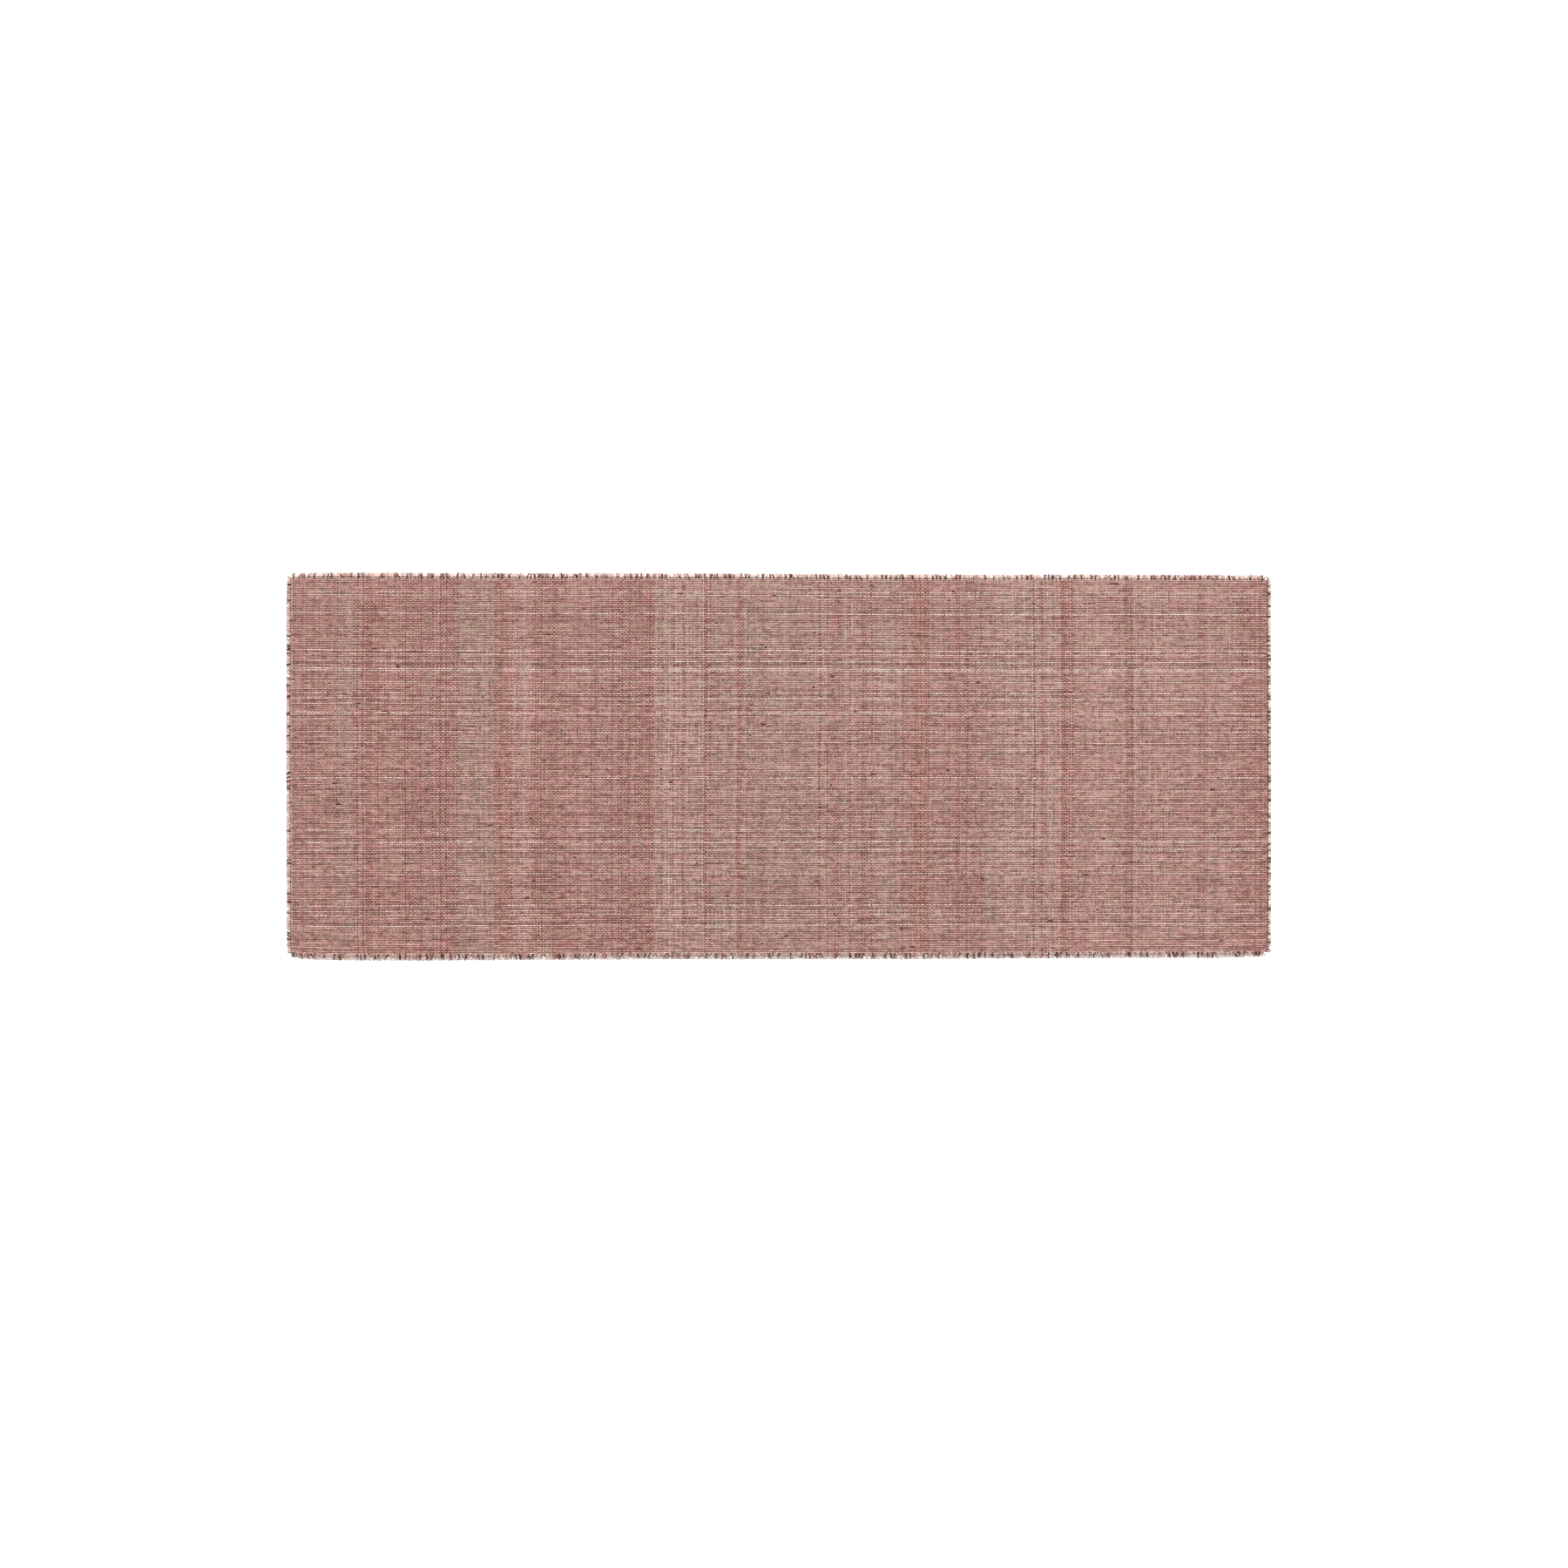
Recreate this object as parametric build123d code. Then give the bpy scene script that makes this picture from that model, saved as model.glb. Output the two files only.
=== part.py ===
from build123d import *
import os
import random

# A hand-woven table runner, cut and frayed on all four sides, lying flat.
# Sizes are in millimetres. X runs along the runner, Y across it and Z up.
# The origin is at the middle of the underside, where the runner lies on the table.
#
# The weave is laid out in two layers. The crosswise yarns lie on the table,
# packed side by side in bands of one dye shade, and each band is one solid.
# The lengthwise yarns lie on them as separate ribs, one solid each.
# A lockstitched seam on each side keeps the frayed edge from opening further.

# ---- overall sizes, tip to tip of the frayed ends
RUNNER_LENGTH = 914.0
RUNNER_WIDTH = 358.0
FRAY_LENGTH = 3.8  # bare yarn ends past the last yarn that crosses them

# ---- lengthwise yarns: the ribs on the face
RIB_PITCH = 1.71
RIB_CLEARANCE = 0.06  # open space between two neighbouring ribs
RIB_HEIGHT = 0.85
RIB_FLANK = 0.4  # height of a rib's upright sides, under its bevels
RIB_BEVEL = 0.4  # how far each bevel comes in towards the rib's flat crown

# ---- crosswise yarns: the layer under the ribs
CROSSWISE_HEIGHT = 0.85
BAND_CLEARANCE = 0.06  # open space between two neighbouring bands
SHORTEST_BAND = 1.6  # one yarn; a cut remnant thinner than this is left off

# ---- the seams
THREAD_WIDTH = 0.6
THREAD_HEIGHT = 0.25
THREAD_CLEARANCE = 0.1  # between a seam thread and the yarn beside it

# ---- shades of the lengthwise yarns, and how many in a hundred have each
LENGTHWISE_SHADES = {
    "cream": 9,
    "pale_rose": 26,
    "rose": 27,
    "mauve": 17,
    "taupe": 13,
    "dark_brown": 8,
}
SHADE_SEED = 11

# ---- dye bands of the crosswise yarns, from the left end, with their widths
CROSSWISE_BANDS = [
    ("rose", 46),
    ("taupe", 18),
    ("brick", 12),
    ("rose", 35),
    ("rust", 10),
    ("mauve", 15),
    ("brick", 18),
    ("taupe", 34),
    ("rust", 20),
    ("pale_rose", 18),
    ("brick", 6),
    ("rose", 42),
    ("mauve", 30),
    ("brick", 6),
    ("rose", 20),
    ("brick", 6),
    ("pale_taupe", 46),
    ("brick", 7),
    ("taupe", 25),
    ("brick", 7),
    ("taupe", 75),
    ("mauve", 16),
    ("pale_taupe", 13),
    ("mauve", 20),
    ("taupe", 20),
    ("mauve", 13),
    ("rust", 13),
    ("mauve", 58),
    ("pale_taupe", 65),
    ("brick", 13),
    ("pale_rose", 51),
    ("rose", 7),
    ("pale_rose", 59),
    ("rose", 7),
    ("pale_rose", 27),
    ("rose", 20),
    ("brick", 10),
]

# ---- worked out from the sizes above
FIELD_LENGTH = RUNNER_LENGTH - 2 * FRAY_LENGTH
FIELD_WIDTH = RUNNER_WIDTH - 2 * FRAY_LENGTH
RIB_COUNT = int(FIELD_WIDTH // RIB_PITCH)
RIB_WIDTH = RIB_PITCH - RIB_CLEARANCE
WEAVE_HEIGHT = CROSSWISE_HEIGHT + RIB_HEIGHT


def bar_along_x(outline, start, end):
    """A bar from start to end in X, with an outline of (y, z) points."""
    face = make_face(Polyline(*outline, close=True))
    return extrude(Plane.YZ.offset(start) * face, amount=end - start)


def block(low, high):
    """A plain block between two corners."""
    size = [b - a for a, b in zip(low, high)]
    middle = [(a + b) / 2 for a, b in zip(low, high)]
    return Pos(*middle) * Box(*size)


def lengthwise_yarns():
    """{shade: ribs}. Each rib runs the whole length, so its ends are the frayed ends."""
    half = RIB_WIDTH / 2
    crown = half - RIB_BEVEL
    foot = CROSSWISE_HEIGHT
    outline = [
        (-half, foot),
        (half, foot),
        (half, foot + RIB_FLANK),
        (crown, WEAVE_HEIGHT),
        (-crown, WEAVE_HEIGHT),
        (-half, foot + RIB_FLANK),
    ]
    rib = bar_along_x(outline, -RUNNER_LENGTH / 2, RUNNER_LENGTH / 2)
    draw = random.Random(SHADE_SEED)
    names = list(LENGTHWISE_SHADES)
    shares = list(LENGTHWISE_SHADES.values())
    ribs = {name: [] for name in names}
    first = -(RIB_COUNT - 1) / 2 * RIB_PITCH
    for i in range(RIB_COUNT):
        shade = draw.choices(names, shares)[0]
        ribs[shade].append(Pos(0, first + i * RIB_PITCH, 0) * rib)
    return ribs


def crosswise_yarns():
    """{shade: bands}. The ends are pressed thinner from below, for the bobbin threads."""
    tip = RUNNER_WIDTH / 2
    edge = FIELD_WIDTH / 2
    outline = [
        (-edge, 0),
        (edge, 0),
        (edge, THREAD_HEIGHT),
        (tip, THREAD_HEIGHT),
        (tip, CROSSWISE_HEIGHT),
        (-tip, CROSSWISE_HEIGHT),
        (-tip, THREAD_HEIGHT),
        (-edge, THREAD_HEIGHT),
    ]
    bands = {name: [] for name, _ in CROSSWISE_BANDS}
    start = -FIELD_LENGTH / 2
    i = 0
    while FIELD_LENGTH / 2 - start > SHORTEST_BAND:
        name, width = CROSSWISE_BANDS[i % len(CROSSWISE_BANDS)]
        end = min(start + width, FIELD_LENGTH / 2)
        bands[name].append(bar_along_x(outline, start, end - BAND_CLEARANCE))
        start = end
        i += 1
    return bands


def seam_threads():
    """{name: one thread}. Each side has a needle thread above and a bobbin thread below."""
    inner_y = FIELD_WIDTH / 2 + THREAD_CLEARANCE
    outer_y = inner_y + THREAD_WIDTH
    end_x = FIELD_LENGTH / 2
    inner_x = FIELD_LENGTH / 2 + THREAD_CLEARANCE
    outer_x = inner_x + THREAD_WIDTH
    end_y = RIB_COUNT * RIB_PITCH / 2
    threads = {}
    for side, sign in (("front", -1), ("back", 1)):
        low_y, high_y = sorted((sign * inner_y, sign * outer_y))
        for name, foot in (("needle", CROSSWISE_HEIGHT), ("bobbin", 0)):
            low = (-end_x, low_y, foot)
            high = (end_x, high_y, foot + THREAD_HEIGHT)
            threads[f"{name}_thread_{side}"] = block(low, high)
    for side, sign in (("left", -1), ("right", 1)):
        low_x, high_x = sorted((sign * inner_x, sign * outer_x))
        for name, foot in (("needle", WEAVE_HEIGHT), ("bobbin", CROSSWISE_HEIGHT - THREAD_HEIGHT)):
            low = (low_x, -end_y, foot)
            high = (high_x, end_y, foot + THREAD_HEIGHT)
            threads[f"{name}_thread_{side}"] = block(low, high)
    return threads


def write(name, solids):
    """Writes one node, which may hold several separate solids."""
    shape = solids[0] if len(solids) == 1 else Compound(children=solids)
    export_step(shape, f"parts/{name}.step")


os.makedirs("parts", exist_ok=True)
for shade, ribs in lengthwise_yarns().items():
    write(f"lengthwise_yarns_{shade}", ribs)
for shade, bands in crosswise_yarns().items():
    write(f"crosswise_yarns_{shade}", bands)
for thread_name, thread in seam_threads().items():
    write(thread_name, [thread])
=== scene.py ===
import math
import random

import bpy
import numpy as np
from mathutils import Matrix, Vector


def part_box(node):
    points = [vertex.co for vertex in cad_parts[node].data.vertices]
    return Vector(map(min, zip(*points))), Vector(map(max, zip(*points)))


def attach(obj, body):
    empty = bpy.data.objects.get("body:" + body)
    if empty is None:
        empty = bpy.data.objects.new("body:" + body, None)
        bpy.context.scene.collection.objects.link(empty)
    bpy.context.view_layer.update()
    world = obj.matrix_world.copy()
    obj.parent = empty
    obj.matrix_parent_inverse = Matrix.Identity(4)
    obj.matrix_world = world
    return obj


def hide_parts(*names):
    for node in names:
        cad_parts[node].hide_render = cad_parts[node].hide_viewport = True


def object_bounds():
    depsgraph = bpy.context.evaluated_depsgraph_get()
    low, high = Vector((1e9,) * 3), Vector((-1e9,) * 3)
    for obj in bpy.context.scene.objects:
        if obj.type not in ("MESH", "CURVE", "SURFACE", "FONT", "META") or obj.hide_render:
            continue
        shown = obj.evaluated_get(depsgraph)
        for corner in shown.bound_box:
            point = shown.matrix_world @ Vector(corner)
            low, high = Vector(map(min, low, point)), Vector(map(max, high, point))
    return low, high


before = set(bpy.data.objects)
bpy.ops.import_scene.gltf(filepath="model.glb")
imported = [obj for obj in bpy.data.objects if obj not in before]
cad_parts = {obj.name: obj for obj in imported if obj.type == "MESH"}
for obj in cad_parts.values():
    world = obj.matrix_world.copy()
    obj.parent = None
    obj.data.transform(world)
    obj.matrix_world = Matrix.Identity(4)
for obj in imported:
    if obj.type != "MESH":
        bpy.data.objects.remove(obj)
cad_low, cad_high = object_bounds()

# A hand-woven table runner in plain weave, cut and frayed on all four sides. It is built
# yarn by yarn: straight lengthwise yarns are the ribs, and the crosswise yarns pass over
# one rib and under the next. Everything is in metres. X runs along the runner.

MM = 0.001

# ---- the weave
RIB_PITCH = 1.71 * MM
RIB_WIDTH = 2.0 * MM  # a little over the pitch, because the ribs press on each other
RIB_HEIGHT = 1.0 * MM
RIB_RINGS = 118  # rings along each rib, 7.8 mm apart
RIB_UNEVEN = 0.2 * MM  # how far a rib lies from its even place
RIB_PAST_EDGE = 0.5 * MM  # how far the ribs run past the outermost crosswise yarns
RIB_SWELLINGS = 140.0  # thick places to the metre along a rib
RIB_SWELL = 0.18  # how much thicker and thinner it gets there
CROSS_PITCH = 1.8 * MM
CROSS_WIDTH = 1.0 * MM
CROSS_HEIGHT = 0.5 * MM
CROSS_UNEVEN = 0.8 * MM  # how far a crosswise yarn lies from its even place
CROSS_SWELLINGS = 220.0  # the same for a crosswise yarn
CROSS_SWELL = 0.3
CRIMP = 0.46 * MM  # how far a crosswise yarn rises and dips; it sinks into the ribs a little
MIDDLE = CRIMP + 0.8 * CROSS_HEIGHT  # the cloth's middle plane, high enough to clear the table
TOP = 2 * MIDDLE
RIGHT_REACH = 1.6 * MM  # at the right end the cloth runs this much further before it frays

# ---- places worked out from the frame
half_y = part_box("needle_thread_left")[1].y  # the ribs' outer edge
half_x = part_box("needle_thread_front")[1].x  # the outermost crosswise yarns
tip_x, tip_y = cad_high.x, cad_high.y
rib_count = round(2 * half_y / RIB_PITCH)
first_rib = -(rib_count - 1) / 2 * RIB_PITCH

# ---- shades of the lengthwise yarns, and how many in a hundred have each
LENGTHWISE_SHADES = {
    "cream": 9,
    "pale_rose": 26,
    "rose": 27,
    "mauve": 17,
    "taupe": 13,
    "dark_brown": 8,
}
SHADE_SEED = 11

# ---- dye bands of the crosswise yarns, from the left end, with their widths in mm
CROSSWISE_BANDS = [
    ("rose", 46),
    ("taupe", 18),
    ("brick", 12),
    ("rose", 35),
    ("rust", 10),
    ("mauve", 15),
    ("brick", 18),
    ("taupe", 34),
    ("rust", 20),
    ("pale_rose", 18),
    ("brick", 6),
    ("rose", 42),
    ("mauve", 30),
    ("brick", 6),
    ("rose", 20),
    ("brick", 6),
    ("pale_taupe", 46),
    ("brick", 7),
    ("taupe", 25),
    ("brick", 7),
    ("taupe", 75),
    ("mauve", 16),
    ("pale_taupe", 13),
    ("mauve", 20),
    ("taupe", 20),
    ("mauve", 13),
    ("rust", 13),
    ("mauve", 58),
    ("pale_taupe", 65),
    ("brick", 13),
    ("pale_rose", 51),
    ("rose", 7),
    ("pale_rose", 59),
    ("rose", 7),
    ("pale_rose", 27),
    ("rose", 20),
    ("brick", 10),
]

# ---- each shade as dyed, and how much red, green and blue of 255 it loses where the yarn
# took most dye and gains where it took least
LENGTHWISE_DYES = {
    "cream": "#D6C0B6",
    "pale_rose": "#C6A49A",
    "rose": "#C09C92",
    "mauve": "#BC9A90",
    "taupe": "#BA9C90",
    "dark_brown": "#AA887E",
}
LENGTHWISE_DEPTH = ((-45, -45, -45), (28, 35, 35))
CROSSWISE_DYES = {
    "pale_rose": "#C8AAA0",
    "rose": "#A6746A",
    "mauve": "#A47C76",
    "taupe": "#B0A294",
    "pale_taupe": "#C8BCB0",
    "brick": "#96423C",
    "rust": "#A25846",
}
CROSSWISE_DEPTH = ((-55, -52, -52), (34, 44, 44))


def shifted(code, change):
    """An sRGB hex colour with its red, green and blue changed by so much of 255."""
    values = [int(code[i : i + 2], 16) + step for i, step in zip((1, 3, 5), change)]
    return "#" + "".join(f"{min(max(value, 0), 255):02X}" for value in values)


def linear(code):
    """An sRGB hex colour as linear red, green, blue and alpha."""
    values = [int(code[i : i + 2], 16) / 255 for i in (1, 3, 5)]
    return (*(v / 12.92 if v <= 0.04045 else ((v + 0.055) / 1.055) ** 2.4 for v in values), 1)


def add(tree, kind, settings=None, inputs=None):
    """Adds one node, sets its properties and fills its inputs with values or links."""
    made = tree.nodes.new(kind)
    for name, value in (settings or {}).items():
        setattr(made, name, value)
    for key, value in (inputs or {}).items():
        if isinstance(value, bpy.types.NodeSocket):
            tree.links.new(value, made.inputs[key])
        else:
            made.inputs[key].default_value = value
    return made


def math_step(tree, operation, *values):
    """One math step on numbers or fields."""
    return add(tree, "ShaderNodeMath", {"operation": operation}, dict(enumerate(values))).outputs[0]


# ======================================================================== materials

PAINTED_LIGHT_FALLOFF = 0.045  # painted light falloff: the back edge is painted this much lighter and the front this much darker, as if the light fell off from back to front
TONE_SWING = 0.5  # how much of the range from darkest to palest a yarn's own tone moves it
LANE_GAP = 977.0  # sets the yarns' patterns far apart, so that no two yarns match
DARKEST_AT, PALEST_AT = 0.1, 0.9  # where the range from darkest to palest ends
CROWN = 1.65  # how narrow the unshaded crown of a yarn is, where the painted groove shade fades out; 1 fades it evenly down its sides
PAINTED_GROOVE_SHADE = (0.28, 0.105, 0.085)  # painted shade: what of red, green and blue is left at the bottom of a groove, painted darker and redder as shade
HUE_SIZE = (1 / (16 * MM), 1 / (9 * MM), 0)  # one over the size of the hue patches
HUE_SWING = (-0.2, 0.3, 0.0)  # how red, green and blue change between redder and yellower
MOTTLE = 0.16  # how much the tone of loose fibres varies
MOTTLE_SIZE = 1.2 * MM


def wool(name, dye, depth, along):
    """Loosely spun wool-mix yarn: matt and hairy, with uneven dye along each yarn, painted shade in its
    grooves and a painted light falloff from back to front.
    """
    material = bpy.data.materials.new(name)
    material.use_nodes = True
    tree = material.node_tree
    tree.nodes.clear()
    place = add(tree, "ShaderNodeTexCoord").outputs["Object"]
    split = add(tree, "ShaderNodeSeparateXYZ", None, {0: place})
    tone = add(tree, "ShaderNodeAttribute", {"attribute_name": "tone"}).outputs["Fac"]
    # the yarn's own coordinates: how far along it, and which yarn it is
    lane = math_step(tree, "MULTIPLY", tone, LANE_GAP)
    own = add(tree, "ShaderNodeCombineXYZ", None, {0: split.outputs[along], 1: lane}).outputs[0]
    total = math_step(tree, "MULTIPLY_ADD", tone, TONE_SWING, (1 - TONE_SWING) / 2)
    # painted light falloff: lighter towards the back edge, darker towards the front
    painted_falloff = math_step(tree, "MULTIPLY", split.outputs["Y"], PAINTED_LIGHT_FALLOFF / tip_y)
    total = math_step(tree, "ADD", total, painted_falloff)
    # dye that comes and goes along a yarn, clouds of dye over the cloth, and mixed fibres:
    # what each follows, one over its size, and its strength
    for follows, size, weight in (
        (own, (1 / (28 * MM), 1, 1), 1.1),
        (own, (1 / (5 * MM), 1, 1), 0.9),
        (place, (1 / (45 * MM), 1 / (45 * MM), 0), 0.12),
        (place, (1 / (6 * MM), 1 / (4 * MM), 0), 0.9),
        (place, (1 / (2 * MM), 1 / (2 * MM), 0), 1.0),
    ):
        scaled = add(tree, "ShaderNodeVectorMath", {"operation": "MULTIPLY"}, {0: follows, 1: size})
        noise = add(
            tree,
            "ShaderNodeTexNoise",
            None,
            {"Vector": scaled.outputs[0], "Scale": 1.0, "Detail": 1.0},
        )
        centred = math_step(tree, "MULTIPLY_ADD", noise.outputs[0], weight, -0.5 * weight)
        total = math_step(tree, "ADD", total, centred)
    ramp = add(tree, "ShaderNodeValToRGB", None, {0: total})
    stops = ramp.color_ramp.elements
    stops[0].position = DARKEST_AT
    stops[0].color = linear(shifted(dye, depth[0]))
    stops[1].position = PALEST_AT
    stops[1].color = linear(shifted(dye, depth[1]))
    stops.new(0.5).color = linear(dye)
    # patches where the dye turned out yellower or redder
    patches = add(tree, "ShaderNodeVectorMath", {"operation": "MULTIPLY"}, {0: place, 1: HUE_SIZE})
    hue = add(
        tree,
        "ShaderNodeTexNoise",
        None,
        {"Vector": patches.outputs[0], "Scale": 1.0, "Detail": 2.0},
    )
    hue = math_step(tree, "SUBTRACT", hue.outputs[0], 0.5)
    hue = add(
        tree,
        "ShaderNodeVectorMath",
        {"operation": "MULTIPLY_ADD"},
        {0: hue, 1: HUE_SWING, 2: (1, 1, 1)},
    )
    dyed = add(
        tree,
        "ShaderNodeVectorMath",
        {"operation": "MULTIPLY"},
        {0: ramp.outputs["Color"], 1: hue.outputs[0]},
    )
    # painted shade: the grooves between the yarns are painted darker and redder where light doesn't
    # reach, and the crowns stay light
    relief = add(tree, "ShaderNodeAttribute", {"attribute_name": "relief"}).outputs["Fac"]
    # painted shade: the groove colour takes over as a point sinks from the crown
    crown = math_step(tree, "POWER", math_step(tree, "ABSOLUTE", relief), CROWN)
    painted_shade = add(
        tree,
        "ShaderNodeVectorMath",
        {"operation": "MULTIPLY_ADD"},
        {0: crown, 1: [1 - value for value in PAINTED_GROOVE_SHADE], 2: PAINTED_GROOVE_SHADE},
    )
    colour = add(
        tree,
        "ShaderNodeVectorMath",
        {"operation": "MULTIPLY"},
        {0: dyed.outputs[0], 1: painted_shade.outputs[0]},
    )
    # the twist of the yarn, as fine slanting ridges
    twist = add(
        tree,
        "ShaderNodeTexWave",
        {"wave_type": "BANDS", "bands_direction": "DIAGONAL"},
        {"Vector": place, "Scale": 1 / (4 * MM), "Distortion": 2.0, "Detail": 1.0},
    )
    bump = add(
        tree,
        "ShaderNodeBump",
        None,
        {"Strength": 0.35, "Distance": 0.1 * MM, "Height": twist.outputs["Fac"]},
    )
    shader = add(
        tree,
        "ShaderNodeBsdfPrincipled",
        None,
        {
            "Base Color": colour.outputs[0],
            "Roughness": 0.92,
            "Normal": bump.outputs[0],
            "Sheen Weight": 0.12,
            "Sheen Roughness": 0.6,
            "Specular IOR Level": 0.2,
        },
    )
    add(tree, "ShaderNodeOutputMaterial", None, {"Surface": shader.outputs[0]})
    return material


def fibre(name, stops, roughness):
    """Loose fibres or thread, matt and slightly mottled.

    Each strand's own tone picks its colour from the stops: the two ends first, then the rest.
    """
    material = bpy.data.materials.new(name)
    material.use_nodes = True
    tree = material.node_tree
    tree.nodes.clear()
    tone = add(tree, "ShaderNodeAttribute", {"attribute_name": "tone"}).outputs["Fac"]
    place = add(tree, "ShaderNodeTexCoord").outputs["Object"]
    mottle = add(
        tree,
        "ShaderNodeTexNoise",
        None,
        {"Vector": place, "Scale": 1 / MOTTLE_SIZE, "Detail": 1.0},
    )
    mixed = math_step(tree, "MULTIPLY_ADD", mottle.outputs[0], MOTTLE, -MOTTLE / 2)
    ramp = add(tree, "ShaderNodeValToRGB", None, {0: math_step(tree, "ADD", tone, mixed)})
    elements = ramp.color_ramp.elements
    for index, (position, code) in enumerate(stops):
        stop = elements[index] if index < 2 else elements.new(position)
        stop.position = position
        stop.color = linear(code)
    shader = add(
        tree,
        "ShaderNodeBsdfPrincipled",
        None,
        {"Base Color": ramp.outputs["Color"], "Roughness": roughness, "Specular IOR Level": 0.2},
    )
    add(tree, "ShaderNodeOutputMaterial", None, {"Surface": shader.outputs[0]})
    return material


# ================================================================== Geometry Nodes


def new_tree(name, sizes):
    """An empty tree with a named input for each size, and the sockets that read them."""
    tree = bpy.data.node_groups.new(name, "GeometryNodeTree")
    kinds = {int: "NodeSocketInt", float: "NodeSocketFloat"}
    sockets = {"Geometry": "NodeSocketGeometry", "Material": "NodeSocketMaterial"}
    sockets.update({label: kinds[type(value)] for label, value in sizes.items()})
    for label, kind in sockets.items():
        made = tree.interface.new_socket(label, in_out="INPUT", socket_type=kind)
        if label in sizes:
            made.default_value = sizes[label]
    tree.interface.new_socket("Geometry", in_out="OUTPUT", socket_type="NodeSocketGeometry")
    return tree, add(tree, "NodeGroupInput").outputs


def named(tree, label, kind="FLOAT"):
    """A seed point's own value of this name, as a field."""
    return add(tree, "GeometryNodeInputNamedAttribute", {"data_type": kind}, {"Name": label}).outputs[0]


def vector(tree, x=0.0, y=0.0, z=0.0):
    """A vector field from three fields or numbers."""
    return add(tree, "ShaderNodeCombineXYZ", None, {0: x, 1: y, 2: z}).outputs[0]


def copies(tree, sizes, start, end, rings):
    """A straight line of so many rings, once on each seed point."""
    line = add(tree, "GeometryNodeCurvePrimitiveLine", None, {"Start": start, "End": end})
    rung = add(tree, "GeometryNodeResampleCurve", None, {"Curve": line.outputs[0], "Count": rings})
    points = add(tree, "GeometryNodeMeshToPoints", None, {"Mesh": sizes["Geometry"]})
    placed = add(
        tree,
        "GeometryNodeInstanceOnPoints",
        None,
        {"Points": points.outputs[0], "Instance": rung.outputs[0]},
    )
    return add(tree, "GeometryNodeRealizeInstances", None, {0: placed.outputs[0]}).outputs[0]


def spun(tree, lines, sides, width, height, girth):
    """Turns lines into closed yarns with a flattened section, as thick as girth says."""
    ring = add(tree, "GeometryNodeCurvePrimitiveCircle", None, {"Resolution": sides, "Radius": 0.5})
    flat = add(
        tree,
        "GeometryNodeTransform",
        None,
        {"Geometry": ring.outputs[0], "Scale": vector(tree, width, height, 1.0)},
    )
    body = add(
        tree,
        "GeometryNodeCurveToMesh",
        None,
        {"Curve": lines, "Profile Curve": flat.outputs[0], "Scale": girth, "Fill Caps": True},
    )
    return body.outputs[0]


def finish_tree(tree, mesh, materials, choice=None):
    """Ends a tree: each strand gets its material, by its own choice where there are several."""
    real = add(tree, "GeometryNodeRealizeInstances", None, {0: mesh}).outputs[0]
    smooth = add(tree, "GeometryNodeSetShadeSmooth", None, {"Geometry": real, "Shade Smooth": True})
    done = smooth.outputs[0]
    for index, material in enumerate(materials):
        inputs = {"Geometry": done, "Material": material}
        if choice:
            chosen = add(
                tree,
                "FunctionNodeCompare",
                {"data_type": "INT", "operation": "EQUAL"},
                {2: choice, 3: index},
            )
            inputs["Selection"] = chosen.outputs[0]
        done = add(tree, "GeometryNodeSetMaterial", None, inputs).outputs[0]
    add(tree, "NodeGroupOutput", None, {0: done})


def uneven_girth(tree, size, swellings):
    """Each yarn's own girth, made thicker and thinner along it, so many times to the metre."""
    position = add(tree, "GeometryNodeInputPosition").outputs[0]
    noise = add(
        tree, "ShaderNodeTexNoise", None, {"Vector": position, "Scale": swellings, "Detail": 1.0}
    )
    swelling = math_step(tree, "SUBTRACT", noise.outputs[0], 0.5)
    swelling = math_step(tree, "MULTIPLY", swelling, size["Unevenness"])
    return math_step(tree, "ADD", swelling, named(tree, "girth"))


def grow(name, tree, seeds, own, sizes=None):
    """Runs a tree on seed points that carry their own values, and keeps a plain mesh."""
    mesh = bpy.data.meshes.new(name + "_seeds")
    mesh.vertices.add(len(seeds))
    mesh.vertices.foreach_set("co", np.asarray(seeds, np.float32).ravel())
    for label, values in own.items():
        values = np.asarray(values)
        kind = "INT" if values.dtype.kind == "i" else "FLOAT"
        exact = np.int32 if kind == "INT" else np.float32
        mesh.attributes.new(label, kind, "POINT").data.foreach_set("value", values.astype(exact))
    holder = bpy.data.objects.new(name + "_seeds", mesh)
    bpy.context.scene.collection.objects.link(holder)
    modifier = holder.modifiers.new("grow", "NODES")
    modifier.node_group = tree
    for item in tree.interface.items_tree:
        if item.in_out == "INPUT" and item.name in (sizes or {}):
            modifier[item.identifier] = sizes[item.name]
    depsgraph = bpy.context.evaluated_depsgraph_get()
    made = bpy.data.meshes.new_from_object(
        holder.evaluated_get(depsgraph), preserve_all_data_layers=True, depsgraph=depsgraph
    )
    bpy.data.objects.remove(holder)
    bpy.data.meshes.remove(mesh)
    piece = bpy.data.objects.new(name, made)
    made.name = name
    bpy.context.scene.collection.objects.link(piece)
    return piece


# ============================================================ how the cloth lies

PLACE_SEED = 5
rib_places = first_rib + RIB_PITCH * np.arange(rib_count)  # as if they lay evenly
uneven = random.Random(PLACE_SEED)
rib_shifts = np.array([uneven.uniform(-1, 1) * RIB_UNEVEN for _ in range(rib_count)])

TAPER = 0.008  # the runner is this much narrower at its right end, and wider at its left
CORNER_PULL = 1.9 * MM  # how far the corners draw in, and how that differs between them
CORNER_SKEW = 0.9 * MM
CORNER_ALONG = 0.6  # share of the pull that goes along the runner
TO_END, TO_SIDE = 22, 8  # powers that keep the pull close to a corner
RIPPLE = 0.45 * MM  # the cloth rises up to twice this off the table


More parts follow.
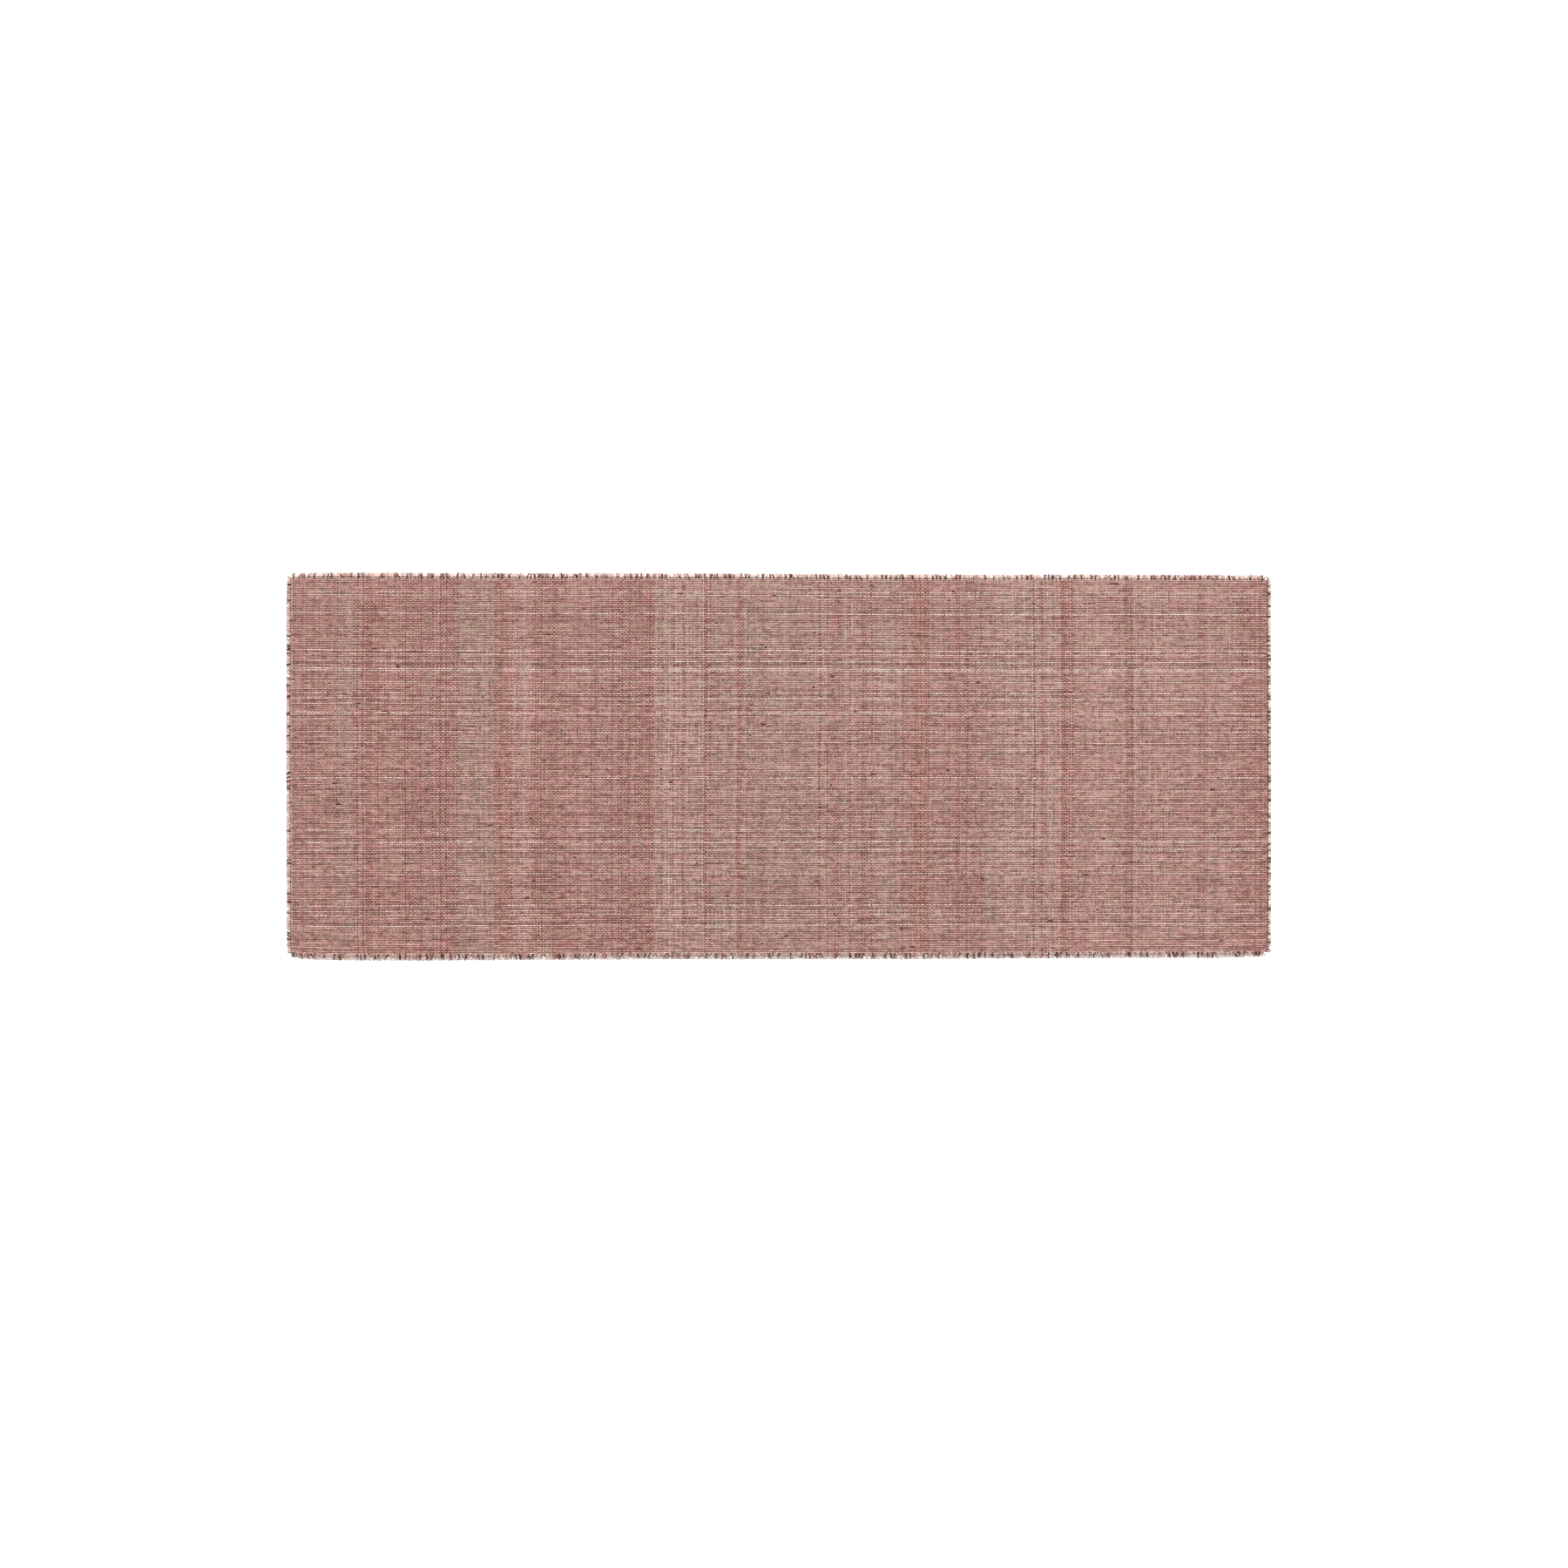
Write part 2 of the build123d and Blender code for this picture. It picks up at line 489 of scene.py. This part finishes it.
def lie(piece):
    """Moves a piece's points as the whole cloth lies: tapered, corners drawn in, rippled.

    It first keeps each point's height in the weave: 1 on a crown of the face, 0 in a groove and -1 on a
    crown of the underside. The yarn materials paint shade into the grooves from it.
    """
    mesh = piece.data
    flat = np.empty(len(mesh.vertices) * 3, np.float32)
    mesh.vertices.foreach_get("co", flat)
    points = flat.reshape(-1, 3).astype(np.float64)
    x, y = points[:, 0].copy(), points[:, 1].copy()
    relief = np.clip((points[:, 2] - MIDDLE) / (RIB_HEIGHT / 2), -1, 1)
    # the height that the yarn materials turn into painted shade in the grooves
    mesh.attributes.new("relief", "FLOAT", "POINT").data.foreach_set("value", relief.astype(np.float32))
    # ribs never lie evenly: where they lie further apart they are wider, and the rest follows
    points[:, 1] += np.interp(y, rib_places, rib_shifts)
    u, v = x / tip_x, y / tip_y
    pull = CORNER_PULL - CORNER_SKEW * (u + v)
    at_end = np.abs(u) ** TO_END * np.abs(v) ** TO_SIDE
    at_side = np.abs(v) ** TO_END * np.abs(u) ** TO_SIDE
    # waves from a hand loom: no yarn is quite straight, and they die down towards the edges
    points[:, 1] += (
        0.35 * MM * np.sin(x / 0.071 + 3 * v)
        + 0.16 * MM * np.sin(x / 0.023 + y / 0.013 + 1)
        + 0.1 * MM * np.sin(x / 0.0091 + y / 0.0083)
        + 0.09 * MM * np.sin(x / 0.0063 - y / 0.0127 + 2)
        + 0.12 * MM * np.sin(y / 0.0061 + x / 0.19)
    ) * (1 - 0.5 * np.abs(v) ** 6)
    points[:, 0] += (
        0.5 * MM * np.sin(y / 0.052 + 2 * u)
        + 0.2 * MM * np.sin(y / 0.017 - x / 0.021)
        + 0.16 * MM * np.sin(x / 0.0072 + y / 0.03)
    ) * (1 - 0.7 * np.abs(u) ** 6)
    points[:, 1] *= 1 - TAPER * u
    points[:, 1] -= np.sign(v) * pull * at_end
    points[:, 0] -= np.sign(u) * pull * CORNER_ALONG * at_side
    # faint ripples, where the cloth doesn't quite touch the table
    ripple = np.sin(x / 0.083 + 0.6) * np.sin(y / 0.061 + 1.1 + x / 0.4)
    points[:, 2] += RIPPLE * (1 + ripple) * (1 - np.maximum(np.abs(u), np.abs(v)) ** 8)
    mesh.vertices.foreach_set("co", points.astype(np.float32).ravel())
    mesh.update()


def finish_piece(piece, material_slot, *nodes):
    """Lays a piece with the cloth and ties it to the frame."""
    lie(piece)
    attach(piece, "root")
    if nodes:
        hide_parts(*nodes)
    return piece


# ========================================================================= camera

CAMERA_PLACE = (5.3 * MM, -16.7 * MM, 4.05)  # nearly over the runner's middle, facing down
camera_data = bpy.data.cameras.new("camera")
camera_data.lens = 100
camera_data.sensor_width = 36
camera = bpy.data.objects.new("camera", camera_data)
camera.location = CAMERA_PLACE
bpy.context.scene.collection.objects.link(camera)
bpy.context.scene.camera = camera

# ============================================================== lengthwise yarns

YARN_SEED = 23  # for all that differs from yarn to yarn and end to end
loom = random.Random(SHADE_SEED)
shade_names = list(LENGTHWISE_SHADES)
rib_shades = loom.choices(shade_names, weights=list(LENGTHWISE_SHADES.values()), k=rib_count)
spinner = random.Random(YARN_SEED)

# next to light ribs the dye runs a little darker, so that no broad stripes form
EVENING = 3.6
RIB_TONE_SPREAD = 0.05
CREAM_TONE = 0.6  # but cream ribs stay light
lightness = np.array([linear(LENGTHWISE_DYES[shade])[0] for shade in rib_shades])
around = np.convolve(np.pad(lightness, 1, "edge"), np.ones(3) / 3, "valid")
average = around.mean()


def rib_tone(shade, near):
    """One rib's tone, from its shade and how light the ribs around it are."""
    if shade == "cream":
        return CREAM_TONE
    return min(max(spinner.gauss(0.5, RIB_TONE_SPREAD) - EVENING * (near - average), 0), 1)


rib_tones = [rib_tone(shade, near) for shade, near in zip(rib_shades, around)]

tree, size = new_tree(
    "lengthwise yarns",
    {"Length": 1.0, "Rings": 2, "Width": 1.0, "Height": 1.0, "Unevenness": 0.0},
)
half = math_step(tree, "MULTIPLY", size["Length"], 0.5)
lines = copies(
    tree,
    size,
    vector(tree, math_step(tree, "MULTIPLY", half, -1.0)),
    vector(tree, half),
    size["Rings"],
)
yarns = spun(
    tree, lines, 4, size["Width"], size["Height"], uneven_girth(tree, size, RIB_SWELLINGS)
)
finish_tree(
    tree,
    yarns,
    [
        wool(f"wool_yarn_lengthwise_{shade}", LENGTHWISE_DYES[shade], LENGTHWISE_DEPTH, "X")
        for shade in shade_names
    ],
    named(tree, "shade", "INT"),
)
lengthwise = grow(
    "lengthwise_yarns",
    tree,
    [(RIGHT_REACH / 2, y, MIDDLE) for y in rib_places],
    {
        "shade": [shade_names.index(shade) for shade in rib_shades],
        "tone": rib_tones,
        "girth": [min(max(spinner.gauss(1.0, 0.05), 0.92), 1.1) for _ in range(rib_count)],
    },
    {
        "Length": 2 * (half_x + RIB_PAST_EDGE) + RIGHT_REACH,
        "Rings": RIB_RINGS,
        "Width": RIB_WIDTH,
        "Height": RIB_HEIGHT,
        "Unevenness": RIB_SWELL,
    },
)
finish_piece(lengthwise, "rose_yarn", *[f"lengthwise_yarns_{shade}" for shade in shade_names])

# =============================================================== crosswise yarns

BAND_BLUR = 1.6 * MM  # how far a yarn of one band strays into the next
STRAY_SHARE = 0.07  # single yarns of a stronger shade, anywhere
STRAY_SHADES = ("brick", "brick", "rust", "taupe")
CROSS_TONE_SPREAD = 0.42
CROSS_GIRTH_SPREAD = 0.14
THINNEST, THICKEST = 0.75, 1.3  # a crosswise yarn's girth never passes these
band_ends = np.cumsum([width * MM for _, width in CROSSWISE_BANDS])


def band_at(x):
    """The shade of the dye band at this place."""
    index = int(np.searchsorted(band_ends, x + half_x))
    return CROSSWISE_BANDS[min(max(index, 0), len(CROSSWISE_BANDS) - 1)][0]


tree, size = new_tree(
    "crosswise yarns",
    {"Length": 1.0, "Rings": 2, "Crimp": 0.0, "Width": 1.0, "Height": 1.0, "Unevenness": 0.0},
)
half = math_step(tree, "MULTIPLY", size["Length"], 0.5)
lines = copies(
    tree,
    size,
    vector(tree, 0.0, math_step(tree, "MULTIPLY", half, -1.0)),
    vector(tree, 0.0, half),
    size["Rings"],
)
place = add(tree, "GeometryNodeSplineParameter").outputs["Index"]
turn = math_step(tree, "MODULO", math_step(tree, "ADD", place, named(tree, "parity", "INT")), 2.0)
rise = math_step(tree, "MULTIPLY", math_step(tree, "MULTIPLY_ADD", turn, -2.0, 1.0), size["Crimp"])
woven = add(
    tree, "GeometryNodeSetPosition", None, {"Geometry": lines, "Offset": vector(tree, 0.0, 0.0, rise)}
).outputs[0]
yarns = spun(
    tree, woven, 4, size["Width"], size["Height"], uneven_girth(tree, size, CROSS_SWELLINGS)
)
finish_tree(tree, yarns, [size["Material"]])

cross_count = int(2 * half_x / CROSS_PITCH)
cross = {}
for index in range(cross_count):
    even = (index - (cross_count - 1) / 2) * CROSS_PITCH
    x = even + spinner.uniform(-1, 1) * CROSS_UNEVEN
    shade = band_at(x + spinner.gauss(0, 1) * BAND_BLUR)
    if spinner.random() < STRAY_SHARE:
        shade = spinner.choice(STRAY_SHADES)
    tone = min(max(spinner.gauss(0.5, CROSS_TONE_SPREAD), 0), 1)
    thick = min(max(spinner.gauss(1, CROSS_GIRTH_SPREAD), THINNEST), THICKEST)
    cross.setdefault(shade, []).append((x, index % 2, tone, thick))

for shade, yarns in sorted(cross.items()):
    piece = grow(
        f"crosswise_yarns_{shade}_woven",
        tree,
        [(x, 0, MIDDLE) for x, *_ in yarns],
        {
            "parity": [parity for _, parity, *_ in yarns],
            "tone": [tone for *_, tone, _ in yarns],
            "girth": [thick for *_, thick in yarns],
        },
        {
            "Material": wool(
                f"wool_yarn_crosswise_{shade}", CROSSWISE_DYES[shade], CROSSWISE_DEPTH, "Y"
            ),
            "Length": (rib_count + 1) * RIB_PITCH,
            "Rings": rib_count + 2,
            "Crimp": CRIMP,
            "Width": CROSS_WIDTH,
            "Height": CROSS_HEIGHT,
            "Unevenness": CROSS_SWELL,
        },
    )
    finish_piece(piece, f"{shade}_yarn", f"crosswise_yarns_{shade}")

# ============================================================ frayed ends, stitches, slubs

# from the tone of a dark brown end to that of an undyed one
FRAY_STOPS = [
    (0.0, "#472219"),
    (1.0, "#EBDDD6"),
    (0.22, "#6C4035"),
    (0.27, "#8A5750"),
    (0.38, "#B4837A"),
    (0.48, "#CBA99F"),
    (0.7, "#DCC6BD"),
]
STRAND_TAPER = 0.45  # how much thinner a strand is at its tip


def strand_tree(name):
    """A tapered strand on each seed point, leaning and drooping as the point says."""
    tree, size = new_tree(name, {"Rings": 4, "Thickness": 1.0})
    lines = copies(tree, size, vector(tree), vector(tree, 1.0), size["Rings"])
    along = add(tree, "GeometryNodeSplineParameter").outputs["Factor"]
    reach = math_step(tree, "MULTIPLY", along, named(tree, "reach"))
    angle = math_step(tree, "MULTIPLY", along, named(tree, "curl"))
    angle = math_step(tree, "ADD", named(tree, "angle"), angle)
    back = math_step(tree, "MULTIPLY", along, -1.0)
    forward = math_step(tree, "MULTIPLY", reach, math_step(tree, "COSINE", angle))
    shift = vector(
        tree,
        math_step(tree, "ADD", forward, back),
        math_step(tree, "MULTIPLY", reach, math_step(tree, "SINE", angle)),
        math_step(tree, "MULTIPLY", math_step(tree, "POWER", along, 0.7), named(tree, "drop")),
    )
    bent = add(tree, "GeometryNodeSetPosition", None, {"Geometry": lines, "Offset": shift}).outputs[0]
    taper = math_step(tree, "MULTIPLY_ADD", math_step(tree, "POWER", along, 2.0), -STRAND_TAPER, 1.0)
    girth = math_step(tree, "MULTIPLY", taper, named(tree, "girth"))
    strands = spun(tree, bent, 3, size["Thickness"], size["Thickness"], girth)
    finish_tree(tree, strands, [size["Material"]])
    return tree


fray_tree = strand_tree("frayed ends")
fray_finish = fibre("wool_yarn_frayed_ends", FRAY_STOPS, 0.95)
FRAY_THICKNESS = 0.5 * MM
ROOT_DEPTH = 0.7 * MM  # the strands start this far inside the cloth's edge
CORNER = 4 * MM  # nearer than this to a corner the ends splay outward
TIP_HEIGHT = 0.5 * MM  # the strands' tips droop to here
ROOT_HEIGHTS = (0.45, 1.2)  # lowest and highest root, in mm
BASE_HEIGHTS = (1.1, 1.5)  # the same for the short dark strands at the base
BASE_TONES = (0.05, 0.25)
LIGHT_TONES = (0.42, 0.6, 0.7, 0.85)  # of the ends that aren't dark


def end_look(dark):
    """One yarn end's tone and thickness, how many strands it has and how far they spread."""
    if dark:
        return spinner.uniform(0.0, 0.15), 1.4, 7, 0.45 * MM
    return spinner.choice(LIGHT_TONES) + spinner.uniform(-0.05, 0.05), 1.1, 10, 0.9 * MM


def fray(name, middles, half_length, outward, reach, dark_share, base_strands=0, base_reach=0):
    """The frayed ends along one side: each yarn end splits into strands that share a tone.

    Outward is the angle the ends point to. Base strands are short dark fibres at the edge,
    and base reach is their share of the others' length.
    """
    seeds, own = [], {"tone": [], "reach": [], "angle": [], "curl": [], "drop": [], "girth": []}
    out_x, out_y = round(math.cos(outward)), round(math.sin(outward))
    edge = half_x - ROOT_DEPTH if out_x else half_y - ROOT_DEPTH
    if name.endswith("right"):
        edge += RIGHT_REACH
    dark = False
    for middle in middles:
        dark = not dark and spinner.random() < dark_share  # dark ends stand singly
        tone, bulk, strands, spread = end_look(dark)
        # the ends next to a corner splay outward and fill it
        to_corner = 1 - min((half_length - abs(middle)) / CORNER, 1)
        toward = -out_y if middle > 0 else out_y
        if out_x:
            toward = out_x if middle > 0 else -out_x
        lean = spinner.gauss(0, 0.2) + toward * to_corner * spinner.uniform(0.2, 0.9)
        length = ROOT_DEPTH + reach * spinner.uniform(0.9, 1.0) * (1 + 0.15 * to_corner)
        for strand in range(strands + base_strands):
            based = strand >= strands
            z = spinner.uniform(*(BASE_HEIGHTS if based else ROOT_HEIGHTS)) * MM
            along = middle + spinner.uniform(-1, 1) * spread
            seeds.append((out_x * edge, along, z) if out_x else (along, out_y * edge, z))
            shade = spinner.uniform(*BASE_TONES) if based else max(tone + spinner.gauss(0, 0.02), 0)
            own["tone"].append(shade)
            own["reach"].append(length * (base_reach if based else 1) * spinner.uniform(0.88, 1.06))
            own["angle"].append(outward + lean + spinner.gauss(0, 0.1))
            own["curl"].append(spinner.gauss(0, 0.25))
            own["drop"].append(TIP_HEIGHT - z)
            own["girth"].append(spinner.uniform(0.8, 1.2) * bulk)
    piece = grow(
        name, fray_tree, seeds, own, {"Material": fray_finish, "Rings": 4, "Thickness": FRAY_THICKNESS}
    )
    return finish_piece(piece, "cream_yarn")


cross_middles = [(index - (cross_count - 1) / 2) * CROSS_PITCH for index in range(cross_count)]
for name, outward, middles, half_length, reach, dark_share, *base in (
    ("back", math.pi / 2, cross_middles, half_x, 1.13 * (tip_y - half_y), 0.4),
    ("front", -math.pi / 2, cross_middles, half_x, 1.14 * (tip_y - half_y), 0.24),
    ("right", 0.0, rib_places, half_y, 1.38 * (tip_x - half_x) - RIGHT_REACH, 0.3, 6, 0.6),
    ("left", math.pi, rib_places, half_y, 1.14 * (tip_x - half_x), 0.18),
):
    fray(f"frayed_ends_{name}", middles, half_length, outward, reach, dark_share, *base)

STITCH_PITCH = 2.6 * MM
STITCH_OFFSET = 0.06  # share of the pitch between a stitch's place and its start
THREAD_THICKNESS = 0.6 * MM
NEEDLE_HEIGHT = TOP + 0.2 * MM  # the needle thread lies on the face, the bobbin thread under it
BOBBIN_HEIGHT = 0.35 * MM
thread_finish = fibre("spun_sewing_thread", [(0.0, "#4E2C22"), (1.0, "#74463A")], 0.7)


def stitches(name, node):
    """One thread's row of stitches, laid along its node's box."""
    low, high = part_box(node)
    run = high - low
    along_x = run.x > run.y
    length = max(run.x, run.y)
    count = int(length / STITCH_PITCH)
    middle = (low + high) / 2
    if node.endswith("right"):
        middle.x += RIGHT_REACH
    height = NEEDLE_HEIGHT if "needle" in node else BOBBIN_HEIGHT
    seeds = []
    for index in range(count):
        place = (index - count / 2 + STITCH_OFFSET) * STITCH_PITCH
        x, y = (place, middle.y) if along_x else (middle.x, place)
        seeds.append((x, y, height))
    own = {
        "tone": [spinner.uniform(0.1, 0.9) for _ in seeds],
        "reach": [STITCH_PITCH * spinner.uniform(0.9, 1.0) for _ in seeds],
        "angle": [(0 if along_x else math.pi / 2) + spinner.gauss(0, 0.05) for _ in seeds],
        "curl": [0.0] * count,
        "drop": [0.0] * count,
        "girth": [spinner.uniform(0.9, 1.1) for _ in seeds],
    }
    sizes = {"Material": thread_finish, "Rings": 3, "Thickness": THREAD_THICKNESS}
    return finish_piece(grow(name, fray_tree, seeds, own, sizes), "seam_thread", node)


for thread in ("needle", "bobbin"):
    for side in ("front", "back", "left", "right"):
        stitches(f"{thread}_stitches_{side}", f"{thread}_thread_{side}")


# ---- slubs: short thick places where the spinner drew too much wool, mostly dark
SLUB_HEIGHT = MIDDLE + 0.36 * RIB_HEIGHT  # their middle, a little under the ribs' crowns
SLUB_TIP = 0.12  # how thick a slub's ends are, as a share of its middle
DARK_SLUB = [(0.0, "#4A2621"), (1.0, "#7A463D")]
PALE_SLUB = [(0.0, "#C29A90"), (1.0, "#DCC1B8")]
slub_tree, size = new_tree("slubs", {"Rings": 7, "Length": 1.0, "Thickness": 1.0})
lines = copies(slub_tree, size, vector(slub_tree), vector(slub_tree, size["Length"]), size["Rings"])
along = add(slub_tree, "GeometryNodeSplineParameter").outputs["Factor"]
swell = math_step(slub_tree, "SINE", math_step(slub_tree, "MULTIPLY", along, math.pi))
swell = math_step(slub_tree, "ADD", swell, SLUB_TIP)
girth = math_step(slub_tree, "MULTIPLY", swell, named(slub_tree, "girth"))
lumps = spun(slub_tree, lines, 6, size["Thickness"], size["Thickness"], girth)
finish_tree(slub_tree, lumps, [size["Material"]])


def slubs(name, count, length, thickness, stops, material_slot):
    """Thick lumps that ride on the crowns of the ribs, each a few millimetres long."""
    seeds = []
    for _ in range(count):
        rib = spinner.randrange(2, rib_count - 2)
        x = spinner.uniform(-0.97, 0.97) * half_x
        seeds.append((x, first_rib + rib * RIB_PITCH, SLUB_HEIGHT))
    own = {
        "tone": [spinner.uniform(0, 1) for _ in seeds],
        "girth": [spinner.uniform(0.65, 1.2) for _ in seeds],
    }
    sizes = {
        "Material": fibre(f"wool_{name}", stops, 0.95),
        "Rings": 7,
        "Length": length,
        "Thickness": thickness,
    }
    return finish_piece(grow(name, slub_tree, seeds, own, sizes), material_slot)


for name, count, length, thickness, stops, material_slot in (
    ("slubs_dark_long", 50, 6.0 * MM, 0.9 * MM, DARK_SLUB, "dark_brown_yarn"),
    ("slubs_dark_short", 80, 2.8 * MM, 1.0 * MM, DARK_SLUB, "dark_brown_yarn"),
    ("slubs_undyed", 45, 3.2 * MM, 0.9 * MM, PALE_SLUB, "cream_yarn"),
):
    slubs(name, count, length, thickness, stops, material_slot)

# ======================================================================= light and floor

FLOOR_HALF = 6.0
AMBIENT = 0.22  # light from all round, beside the key light
corners = [(x * FLOOR_HALF, y * FLOOR_HALF, 0) for x, y in ((-1, -1), (1, -1), (1, 1), (-1, 1))]
floor = bpy.data.meshes.new("floor")
floor.from_pydata(corners, [], [(0, 1, 2, 3)])
table = bpy.data.objects.new("floor", floor)
bpy.context.scene.collection.objects.link(table)
paint = bpy.data.materials.new("white_painted_table")
paint.use_nodes = True
paint.node_tree.nodes["Principled BSDF"].inputs["Base Color"].default_value = linear("#F8F8F8")
paint.node_tree.nodes["Principled BSDF"].inputs["Roughness"].default_value = 0.9
floor.materials.append(paint)


def sun(name, strength, softness, elevation, azimuth):
    """A soft light from far away; azimuth 0 is the runner's right end, 90 its back edge."""
    data = bpy.data.lights.new(name, "SUN")
    data.energy = strength
    data.angle = math.radians(softness)
    lamp = bpy.data.objects.new(name, data)
    lamp.rotation_euler = (0, math.radians(90 - elevation), math.radians(azimuth))
    bpy.context.scene.collection.objects.link(lamp)


sun("key_light", strength=6.3, softness=24, elevation=42, azimuth=80)
world = bpy.data.worlds.new("world")
bpy.context.scene.world = world
world.use_nodes = True
world.node_tree.nodes["Background"].inputs["Color"].default_value = (1, 1, 1, 1)
world.node_tree.nodes["Background"].inputs["Strength"].default_value = AMBIENT
bpy.context.scene.view_settings.view_transform = "Standard"
